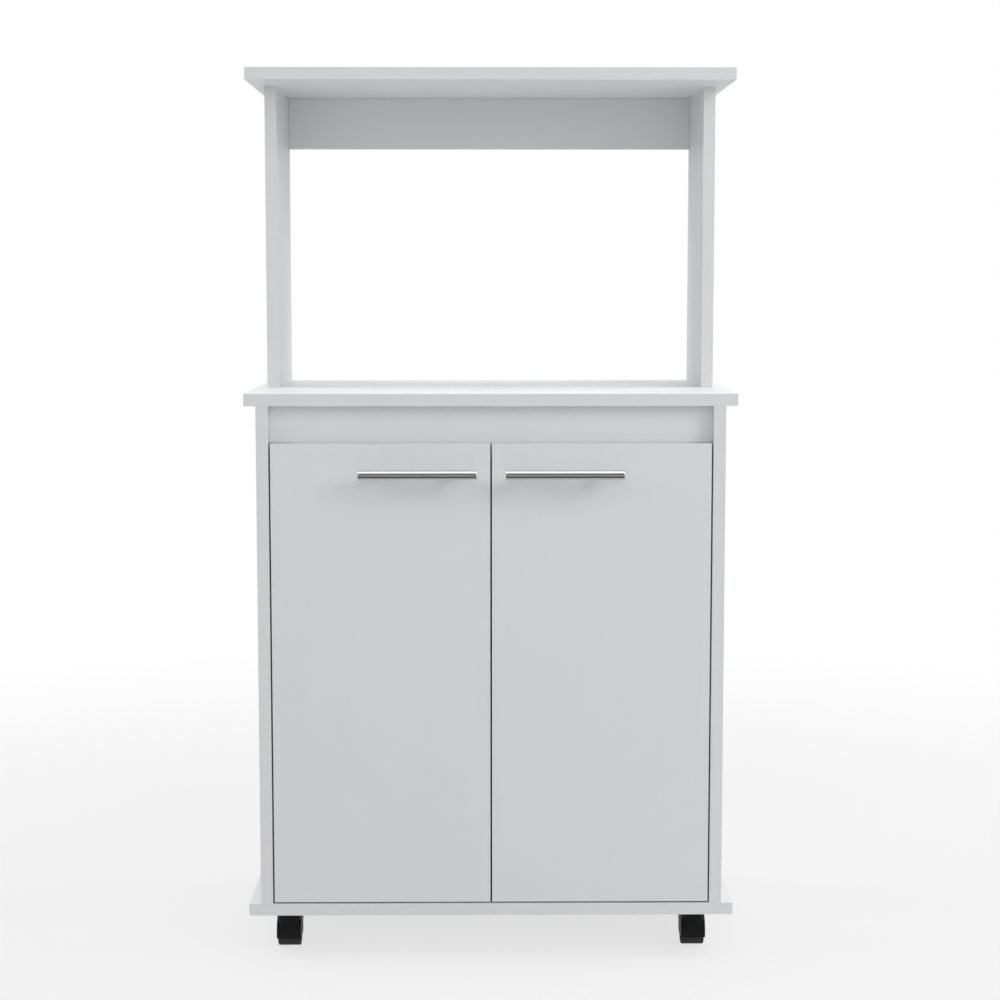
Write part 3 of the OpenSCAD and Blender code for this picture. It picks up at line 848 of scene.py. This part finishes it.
# A hair thinner than the CAD's rods, so that no facet reaches past their box
bar_ease = 0.01 * mm
bar_round, post_round = 0.7 * mm, 0.3 * mm
for side in ("left", "right"):
    for node, toward, broken in (
        (f"handle_bar_{side}", "out", bar_round), (f"handle_posts_{side}", "back", post_round)
    ):
        low, high = solids(node)[0]
        size = high - low
        length = abs(size.dot(facing(low, toward)))
        fitted(node, toward, lathe(rod(size.z / 2 - bar_ease, length, broken), 72), bar_steel)

# %% [markdown]
# ## Screws, cams and covers
#
# A screw is a turned profile with a thread, and a recess carved in its head. The thread is drawn
# as rings, which is enough for pieces that sit in a board. The cam lock is a cast drum with a
# cross recess and a bore for the bolt's head.

# %% Threads and heads
def thread(radius, start, end, pitch=1.4 * mm, deep=0.4 * mm):
    """Rings down a shank, in a profile."""
    points = []
    for step in range(int((start - end) / pitch)):
        height = start - step * pitch
        points += [(radius - deep, height), (radius, height - pitch / 2)]
    return [*points, (radius - deep, end)]


def dome(radius, height, steps=8):
    """The profile of a pan head, from its middle to its rim."""
    turns = [math.pi / 2 * step / steps for step in range(steps + 1)]
    return [(radius * math.sin(turn), height * (math.cos(turn) - 1)) for turn in turns]


def pan_screw(length, head, head_high, shank):
    tip = shank
    recess_long, recess_wide, recess_deep = 0.6 * head, 0.13 * head, 0.9 * head_high
    profile = [*dome(head / 2, head_high), *thread(shank / 2, -head_high, tip - length), (0, -length)]
    recess = prism(cross(recess_long, recess_wide), -recess_deep, past, taper=0.7)
    return carved(lathe(profile, 36), recess)


# %% Pan head screws
small = {"head": 7 * mm, "head_high": 1.8 * mm, "shank": 3.5 * mm}
large = {"head": 8 * mm, "head_high": 2.2 * mm, "shank": 4 * mm}
for node, side, length, sizes in (
    ("hinge_plate_screws", "in", 14.3 * mm, small), ("caster_screws", "down", 15.3 * mm, small),
    ("hinge_cup_screws_left", "back", 13.9 * mm, small),
    ("handle_screws_left", "back", 26.2 * mm, large),
    ("hinge_cup_screws_right", "back", 13.9 * mm, small),
    ("handle_screws_right", "back", 26.2 * mm, large),
):
    fitted(node, side, pan_screw(length, **sizes), zinc)

# %% [markdown]
# The long furniture screws have a flat head over a cone and a thick neck, and take a hex key.

# %% Furniture screws
def furniture_screw():
    edge, pitch, thread_deep = 0.3 * mm, 2.2 * mm, 0.7 * mm
    hex_key, key_deep = 4 * mm, 3 * mm
    profile = [
        (0, 0), (screw_head / 2 - edge, 0), (screw_head / 2, -edge), (screw_head / 2, -head_deep),
        (screw_neck / 2, -cone_deep), (screw_neck / 2, edge - neck_deep),
        *thread(screw_core / 2, -neck_deep, screw_core - screw_long, pitch, thread_deep),
        (0, -screw_long),
    ]
    return carved(lathe(profile, 36), prism(ring(hex_key / math.sqrt(3), 6), -key_deep, past))


stamped("furniture_screws", [(screw_places, furniture_screw())], zinc)

# %% [markdown]
# Cams, bolts, nails, pins and dowels are turned in the same way. Only the cams' faces, the nail
# heads and the pins show, but each piece is whole.

# %% Cam locks
def cam_lock():
    edge, rim, bolt_deep, bolt_bore = 0.5 * mm, 1.2 * mm, 7.5 * mm, 7.7 * mm
    slot_long, slot_wide, slot_deep = 6 * mm, 1.2 * mm, 1.5 * mm
    radius = cam_width / 2
    profile = [(0, -edge / 2), (radius - rim - edge / 2, -edge / 2), (radius - rim, 0),
               (radius - edge, 0), (radius, -edge), (radius, -cam_depth), (0, -cam_depth)]
    slot = prism(cross(slot_long, slot_wide), -slot_deep, past, taper=0.8)
    across = stand((0, -cam_width, -bolt_deep), Y)
    through = lathe(bore(bolt_bore, 0, 2 * cam_width), 36, across)
    return carved(carved(lathe(profile, 60), slot), through)


fitted("cam_locks", "in", cam_lock(), cast)

# %% Cover discs
def cover(width):
    radius, high = width / 2, 0.4 * mm
    rim = arc((radius - high, -high), high, 90, 0, 4)
    return lathe([(0, 0), *rim, (radius, -high), (0, -high)], 60)


fitted("cam_covers", "in", cover(18 * mm), film)
fitted("screw_covers", "out", cover(13 * mm), film)

# %% Bolts
double_bolt, single_bolt = 63 * mm, 34.9 * mm


def bolt_head():
    head, neck, shank, high, broken = 3.7 * mm, 2.2 * mm, 3 * mm, 2.5 * mm, 0.4 * mm
    neck_end = 3 * high
    return [(0, 0), (head - broken, 0), (head, -broken), (head, -high), (neck, -high),
            (neck, -neck_end), (shank, -neck_end)]


def threaded_end(length):
    shank, thread_long, tip, pitch, deep = 3 * mm, 11 * mm, 1 * mm, 1.8 * mm, 0.6 * mm
    return [*thread(shank, thread_long - length, tip - length, pitch, deep), (0, -length)]


double_places, single_places = by_height("cam_bolts", "down", 50 * mm)
stamped("cam_bolts", [
    (double_places, lathe(both_ways(bolt_head(), -double_bolt / 2), 32)),
    (single_places, lathe(bolt_head() + threaded_end(single_bolt), 32)),
], zinc)

# %% Nails, pins and dowels
def nail():
    shank, tip, length, dome_high = 0.75 * mm, 2 * mm, 20 * mm, 0.5 * mm
    return lathe([
        *dome(nail_head / 2, dome_high, 5), (nail_head / 2, -nail_head_high),
        (shank, -nail_head_high), (shank, tip - length), (0, -length),
    ], 24)


def shelf_pin():
    radius, collar, broken = pin_width / 2, 3.5 * mm, 0.4 * mm
    collar_from, collar_to = 8.1 * mm, 8.9 * mm
    near = arc((radius - broken, -broken), broken, 90, 0, 4)
    far = arc((radius - broken, broken - pin_depth), broken, 0, -90, 4)
    return lathe([
        (0, 0), *near, (radius, -collar_from), (collar, -collar_from), (collar, -collar_to),
        (radius, -collar_to), *far, (0, -pin_depth),
    ], 40)


def dowel():
    radius, length, broken = 4 * mm, 30 * mm, 1 * mm
    flute_deep, steps, steps_per_flute = 0.25 * mm, 48, 3
    half = [(0, 0), (radius - broken, 0), (radius, -broken)]
    shape = lathe(both_ways(half, -length / 2), steps)
    for point in shape.verts:
        step = round(math.atan2(point.co.y, point.co.x) / (2 * math.pi) * steps)
        if point.co.xy.length > radius - broken / 2 and step % steps_per_flute == 0:
            point.co.xy *= 1 - flute_deep / radius
    return shape


fitted("back_nails", "back", nail(), zinc)
fitted("shelf_pins", "in", shelf_pin(), zinc)
fitted("wood_dowels", "down", dowel(), beech)

# %% [markdown]
# ## The hinges
#
# A cup hinge has a pressed steel cup in the door, an arm that curls round the door's back corner,
# and a plate on the side panel. The cup is turned, with a rounded floor, and gets a flange with
# two ears for its screws. The plate has rounded wings under a raised middle.

# %% Hinge cups
def rounded_plate(outline, low, high, broken):
    """A flat plate with an outline, its upper edge broken."""
    shape = prism(outline, low, high)
    shape.normal_update()
    rim = [edge for edge in shape.edges if all(abs(end.co.z - high) < weld for end in edge.verts)]
    return rounded(shape, broken, rim)


def hinge_cup():
    outer, wall, floor, bend = cup_width / 2, 1.2 * mm, 0.6 * mm, 2.2 * mm
    brim, brim_round, low = 19 * mm, 0.4 * mm, -cup_depth - flange
    ear_pitch, ear_round, steps = 48 * mm, 6.5 * mm, 96
    inner = outer - wall
    profile = [
        (0, low), *arc((outer - bend, low + bend), bend, -90, 0), (outer, -flange),
        (brim, -flange), *arc((brim - brim_round, -brim_round), brim_round, 0, 90, 3),
        *arc((inner + brim_round, -brim_round), brim_round, 90, 180, 3),
        *arc((inner - bend, low + floor + bend), bend, 0, -90), (0, low + floor),
    ]
    ears = rounded_plate(ring(ear_round, 48, ear_pitch), -flange, 0, brim_round)
    mouth = lathe(bore(2 * inner + wall, flange, flange), steps)
    return carved(lathe(profile, steps), carved(ears, mouth), "UNION")


for side in ("left", "right"):
    fitted(f"hinge_cups_{side}", "back", hinge_cup(), nickel)

# %% Hinge plates
def hinge_plate():
    wing_long, wing_wide, wing_thick, broken = 46 * mm, 17 * mm, 1.6 * mm, 0.4 * mm
    middle_long, middle_wide, middle_high, soft = 34 * mm, 9 * mm, 10.9 * mm, 1.2 * mm
    outline = ring(wing_wide / 2, 40, wing_long - wing_wide)
    wings = rounded_plate(outline, -middle_high, wing_thick - middle_high, broken)
    half = Vector((middle_long / 2, middle_wide / 2, 0))
    middle = blank(-half - Z * (middle_high - wing_thick / 2), half)
    rounded(middle, soft)
    return carved(wings, middle, "UNION")


fitted("hinge_plates", "in", hinge_plate(), nickel)

# %% [markdown]
# The curled arm follows the CAD solid exactly, so that solid stays. It is pressed from sheet,
# so a Bevel modifier breaks its edges. The small pins are inside the cups and stay too.

# %% Carry over the arms and pins
sharp_above = math.radians(40)


def carry_over(node, finish, broken):
    kept = frame["nodes"][node]
    kept.data.materials.clear()
    kept.data.materials.append(finish)
    edges = kept.modifiers.new("broken_edges", "BEVEL")
    edges.width = broken
    edges.segments = 2
    edges.limit_method = "ANGLE"
    edges.angle_limit = sharp_above
    shade_evenly(kept)
    print(node, "carried over")


carry_over("hinge_arms", nickel, 0.35 * mm)
for side in ("left", "right"):
    carry_over(f"hinge_pins_{side}", zinc, 0.15 * mm)

# %% Clamping and adjusting screws of the arms
def arm_screw(head, head_high, length):
    shank, tip, pitch = 2 * mm, 0.5 * mm, 0.7 * mm
    recess_long, recess_wide, recess_deep = 0.6 * head, 0.14 * head, 0.8 * head_high
    profile = [*dome(head / 2, head_high), *thread(shank, -head_high, tip - length, pitch),
               (0, -length)]
    recess = prism(cross(recess_long, recess_wide), -recess_deep, past, taper=0.7)
    return carved(lathe(profile, 36), recess)


clamps, adjusters = by_height("hinge_arm_screws", "in", 5 * mm)
stamped("hinge_arm_screws", [
    (clamps, arm_screw(7.5 * mm, 2 * mm, 9.1 * mm)),
    (adjusters, arm_screw(4 * mm, 0.6 * mm, 5 * mm)),
], zinc)

# %% [markdown]
# ## The casters
#
# Each caster is a zinc plate with four screws, a kingpin, a black hood that swivels on it, and a
# wide wheel on a riveted axle. The hood is moulded, so its shoulders are round and its cheeks
# are slightly domed. It is turned round the axle, cut along its slanted lower edge, joined to
# the wide boss above, and hollowed out.

# %% The hood
caster_places = [
    Matrix.Translation((place.translation.x, place.translation.y, 0))
    for place in seats("caster_plates", "down")
]
axle_at = Vector((0, 12 * mm, 20 * mm))
hood_radius, hood_low = 23.4 * mm, 6 * mm


def half_width(node):
    low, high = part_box(node)
    return (high.x - low.x) / 2


cheek, hood_half, wheel_half = (
    half_width(f"caster_{kind}_front_left") for kind in ("hood", "axle", "wheel")
)
print("Half widths in mm:", [round(half / mm, 2) for half in (cheek, hood_half, wheel_half)])


def side_on(at):
    """A place whose outline lies across the cabinet, facing its side."""
    return Matrix.Translation(at) @ Matrix(((0, 0, 1, 0), (1, 0, 0, 0), (0, 1, 0, 0), (0, 0, 0, 1)))


axle_place = side_on(axle_at)
wheel_steps = 120


def hood_outside():
    shoulder, flat_to, dome_to, rim_from = 2.6 * mm, 9 * mm, 12 * mm, 15.5 * mm
    dome_half = 0.8 * cheek + 0.2 * hood_half
    far = 2 * hood_radius
    half = [
        (0, cheek), (flat_to, cheek), (dome_to, dome_half), (rim_from, hood_half),
        *arc((hood_radius - shoulder, hood_half - shoulder), shoulder, 90, 0, 8),
    ]
    below = [(-far, -hood_low), (hood_low, -hood_low), (far, far), (far, -far), (-far, -far)]
    shape = lathe(both_ways(half), wheel_steps, axle_place)
    return carved(shape, prism(below, -far, far, axle_place))


def hood_boss():
    radius, boss_half, top, soft = 11 * mm, 14.9 * mm, 49.2 * mm, 0.6 * mm
    beside = boss_half - radius
    outline = [(beside + x, y) for x, y in arc((0, 0), radius, -90, 90, 24)]
    outline += [(x - beside, y) for x, y in arc((0, 0), radius, 90, 270, 24)]
    return rounded_plate(outline, axle_at.z, top, soft)


def caster_hood():
    hollow_radius, hollow_half = 21 * mm, wheel_half + 0.3 * mm
    axle_bore, pin_bore, pin_head_bore, pin_head_top = 5.04 * mm, 8.1 * mm, 12.6 * mm, 41.4 * mm
    far, above = 2 * hood_radius, 60 * mm
    hollow = [(0, hollow_half), (hollow_radius, hollow_half)]
    shape = carved(hood_outside(), hood_boss(), "UNION")
    for profile, steps, place in (
        (both_ways(hollow), wheel_steps, axle_place),
        (bore(axle_bore, far, far), 40, axle_place),
        (bore(pin_bore, -axle_at.z, above), 48, Matrix()),
        (bore(pin_head_bore, -axle_at.z, pin_head_top), 60, Matrix()),
    ):
        shape = carved(shape, lathe(profile, steps, place))
    return shape


# %% The wheel
def caster_wheel():
    half, web_in, rib_in = wheel_half, 6 * mm, 1 * mm
    bore_radius, hub, rim, soft = 2.55 * mm, 7 * mm, 16 * mm, 0.4 * mm
    tread_radius, tread_soft, seam = 20 * mm, 1.4 * mm, 0.12 * mm
    rib_count, rib_half = 8, 0.7 * mm
    web = half - web_in
    half_profile = [
        (bore_radius, half), *arc((hub - soft, half - soft), soft, 90, 0, 3), (hub, web), (rim, web),
        *arc((rim + soft, half - soft), soft, 180, 90, 3),
        *arc((tread_radius - tread_soft, half - tread_soft), tread_soft, 90, 0, 7),
        (tread_radius, seam), (tread_radius - seam, 0),
    ]
    shape = lathe([*both_ways(half_profile), half_profile[0]], wheel_steps, axle_place)
    ribs = bmesh.new()
    for step in range(rib_count):
        turn = 2 * math.pi * step / rib_count
        for face in (-1, 1):
            near, far = sorted((face * (web - rib_half), face * (half - rib_in)))
            outline = [
                (math.cos(turn) * along - math.sin(turn) * across,
                 math.sin(turn) * along + math.cos(turn) * across)
                for along, across in ((hub - soft, -rib_half), (rim + soft, -rib_half),
                                      (rim + soft, rib_half), (hub - soft, rib_half))
            ]
            rib = as_template(prism(outline, near, far))
            stamp(ribs, rib, axle_place)
            bpy.data.meshes.remove(rib)
    return carved(shape, ribs, "UNION")


# %% The axle
def caster_axle():
    radius, half, soft = 2.5 * mm, hood_half, 0.8 * mm
    end = [(0, half), (radius - soft, half), *arc((radius - soft, half - soft), soft, 90, 0, 4)]
    return lathe(both_ways(end), 40, axle_place)


caster_parts = {
    "caster_hood": (as_template(caster_hood()), black_nylon),
    "caster_wheel": (as_template(caster_wheel()), tread),
    "caster_axle": (as_template(caster_axle()), zinc),
}
for end in ("front", "rear"):
    for side in ("left", "right"):
        for kind, (template, finish) in caster_parts.items():
            node = f"{kind}_{end}_{side}"
            low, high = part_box(node)
            middle = (low + high) / 2
            nearest = min(caster_places, key=lambda place: (place.translation - middle).length)
            shape = bmesh.new()
            stamp(shape, template, nearest)
            piece(node, shape, [finish])

# %% Plates, kingpins and their screws
def caster_plate():
    half, corner, thick, broken = 19 * mm, 4 * mm, 2.5 * mm, 0.35 * mm
    sharp_turn = 1.0
    shape = blank(Vector((-half, -half, -thick)), Vector((half, half, 0)))
    ends = [(edge, *(end.co for end in edge.verts)) for edge in shape.edges]
    rounded(shape, corner, [edge for edge, a, b in ends if abs((b - a).normalized().z) > square_on])
    shape.normal_update()
    around = [edge for edge in shape.edges if edge.calc_face_angle(0) > sharp_turn]
    return rounded(shape, broken, around)


def kingpin():
    radius, lip, high, length, broken = 4 * mm, 6 * mm, 1.5 * mm, 12.22 * mm, 0.4 * mm
    profile = [*dome(lip, high), (radius, -high), (radius, broken - length),
               (radius - broken, -length), (0, -length)]
    return lathe(profile, 40)


fitted("caster_plates", "down", caster_plate(), zinc)
fitted("caster_kingpins", "down", kingpin(), zinc)

# %% [markdown]
# ## The camera
#
# The photograph was taken from the front, a little to the left of the middle and 0.84 m over the
# floor, with a slight look down. These values come from fitting a camera to the board edges.

# %% Camera
camera_at = Vector((-0.0161, -2.7657, 0.8412))
look_down, look_right = 5.931, 0.591
camera_lens = bpy.data.cameras.new("camera")
camera_lens.sensor_width = 36
camera_lens.lens = 77.557
camera = put("camera", camera_lens)
camera.location = camera_at
camera.rotation_euler = (math.radians(90 - look_down), 0, math.radians(-look_right))
bpy.context.scene.camera = camera
print("Camera", round(-camera_at.y, 3), "m in front of the middle")

# %% [markdown]
# ## Floor, sky and lights
#
# The photograph has a pure white background and soft light from all round, stronger from above.
# The background's white comes from its own colour, seen by camera, glossy and transmission
# rays. The floor is half way: near the cabinet it keeps a part of its real shading, so that the
# cabinet's soft shadow shows.

# %% White surroundings
def seen_directly(nodes):
    """1 for camera, glossy and transmission rays, which show the background."""
    kinds = ("Is Camera Ray", "Is Glossy Ray", "Is Transmission Ray")
    camera_ray, glossy_ray, clear_ray = (nodes.add("ShaderNodeLightPath", out=kind) for kind in kinds)
    return camera_ray + glossy_ray + clear_ray


PURE_WHITE = (1, 1, 1, 1)
sky_level = 0.26
world = bpy.data.worlds.new("studio")
bpy.context.scene.world = world
sky = Nodes(world)
lit = sky.add("ShaderNodeBackground", None, {"Color": PURE_WHITE, "Strength": sky_level})
white = sky.add("ShaderNodeBackground", None, {"Color": PURE_WHITE, "Strength": 1})
both = sky.add("ShaderNodeMixShader", None, {0: seen_directly(sky), 1: lit, 2: white})
sky.add("ShaderNodeOutputWorld", None, {"Surface": both})

# %% Floor
floor_half = 30.0
shadow_share = 0.3
fade_from, fade_to = 0.7, 2.2


def floor_finish():
    material = bpy.data.materials.new("pale_floor")
    nodes = Nodes(material)
    spot = nodes.add("ShaderNodeTexCoord", out="Object")
    reach = nodes.add("ShaderNodeVectorMath", {"operation": "LENGTH"}, {0: spot}, out="Value")
    fade = {"Value": reach, "From Min": fade_from, "From Max": fade_to,
            "To Min": shadow_share, "To Max": 0}
    shading = nodes.add("ShaderNodeMapRange", {"interpolation_type": "SMOOTHSTEP"}, fade)
    grain = noise(nodes, 60, 3)
    paint = {
        "Base Color": nodes.mix_colours(grain, (0.60, 0.60, 0.60), (0.63, 0.63, 0.63)),
        "Roughness": 0.7,
    }
    painted = nodes.add("ShaderNodeBsdfPrincipled", None, paint)
    glow = nodes.add("ShaderNodeEmission", None, {"Color": PURE_WHITE, "Strength": 1})
    share = seen_directly(nodes) * (1 - shading)
    mixed = nodes.add("ShaderNodeMixShader", None, {0: share, 1: painted, 2: glow})
    nodes.add("ShaderNodeOutputMaterial", None, {"Surface": mixed})
    return material


floor_shape = bmesh.new()
bmesh.ops.create_grid(floor_shape, x_segments=12, y_segments=12, size=floor_half)
floor = put("floor", as_mesh("floor", floor_shape))
floor.data.materials.append(floor_finish())
floor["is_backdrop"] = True
print("Floor and sky in place")

# %% [markdown]
# ### Lamps
#
# Soft boxes stand round the cabinet: one high on each side, which light the counter from over
# its ends, one at each front corner, weak ones in front and high in front, and a weak one
# behind. The right ones are stronger than the left ones, so the left inner faces are the
# brighter ones. The overhead box only draws the bright line along the bars: it gives no light of
# its own, because the top board would get too much. The front boxes don't show in the bars.

# %% Soft boxes
cabinet_middle = (cad_low + cad_high) / 2


def soft_box(name, at, width, depth, watts):
    """An area lamp that faces the cabinet."""
    lamp = bpy.data.lights.new(name, "AREA")
    lamp.shape = "RECTANGLE"
    lamp.size, lamp.size_y = width, depth
    lamp.energy = watts
    box = put(name, lamp)
    box.location = at
    box.rotation_euler = (cabinet_middle - Vector(at)).to_track_quat("-Z", "Y").to_euler()
    box.visible_camera = False
    box.visible_diffuse = name != "overhead"
    box.visible_glossy = name not in ("front", "high_front")
    print(f"{name}: {watts} W")


soft_box("overhead", (0, -0.4, 3.2), 1.4, 1.2, 8)
soft_box("right_high", (2.4, 0.3, 3.0), 1.6, 1.6, 53)
soft_box("left_high", (-2.4, 0.3, 3.0), 1.6, 1.6, 46)
soft_box("right_front", (2.6, -2.2, 2.2), 1.6, 1.6, 38)
soft_box("left_front", (-2.6, -2.2, 2.2), 1.6, 1.6, 16)
soft_box("back", (0, 2.0, 2.4), 3.0, 1.2, 17)
soft_box("front", (0, -3.4, 1.2), 3.0, 2.0, 17)
soft_box("high_front", (0.4, -1.8, 2.9), 2.0, 1.0, 3.2)

# %% [markdown]
# ### Dark cards: painted dark reflections
#
# A polished bar shows the room. In an all white room it would look white, so a photographer
# sets dark cards in front of it. Here two cards paint dark reflections into the bars: one stands
# behind the camera and one lies in front of the cabinet. Only reflections see them, so they cast no
# shadow and take no light away.

# %% Cards that paint dark reflections into the bars
# A card's tone is the painted dark reflection that the bars show, not the colour of a real thing.
def painted_reflection_finish(name, dark, pale):
    def paint(nodes):
        cloud = noise(nodes, 0.8, 2)
        return {"Base Color": nodes.mix_colours(cloud, (dark,) * 3, (pale,) * 3)}

    return surface(name, paint, Roughness=0.9)


def card(name, low, high, dark, pale):
    """A flat dark card between two corners, seen by reflections alone: a painted dark reflection."""
    shape = bmesh.new()
    across = Vector((high.x - low.x, 0, 0))
    corners = [shape.verts.new(spot) for spot in (low, low + across, high, high - across)]
    shape.faces.new(corners)
    made = put(name, as_mesh(name, shape))
    made.data.materials.append(painted_reflection_finish(name, dark, pale))
    made.visible_camera = made.visible_diffuse = made.visible_shadow = False
    made.visible_transmission = made.visible_volume_scatter = False
    made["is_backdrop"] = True


# Painted dark reflections: a tall card behind the camera and a flat one on the floor in front.
card("front_painted_reflection", Vector((-4, -4.6, 0.62)), Vector((4, -4.6, 5.0)), 0.30, 0.38)
card("floor_painted_reflection", Vector((-4, -4.6, 0.004)), Vector((4, -0.34, 0.004)), 0.10, 0.13)
print("Two dark cards in place")

# %% View settings
bpy.context.scene.view_settings.view_transform = "Standard"

# %% Sizes, then the end
visual_low, visual_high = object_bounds()
sizes = {"cad": [list(cad_low), list(cad_high)], "visual": [list(visual_low), list(visual_high)]}
print("Visual box in mm:", [round(side / mm, 1) for side in visual_high - visual_low])
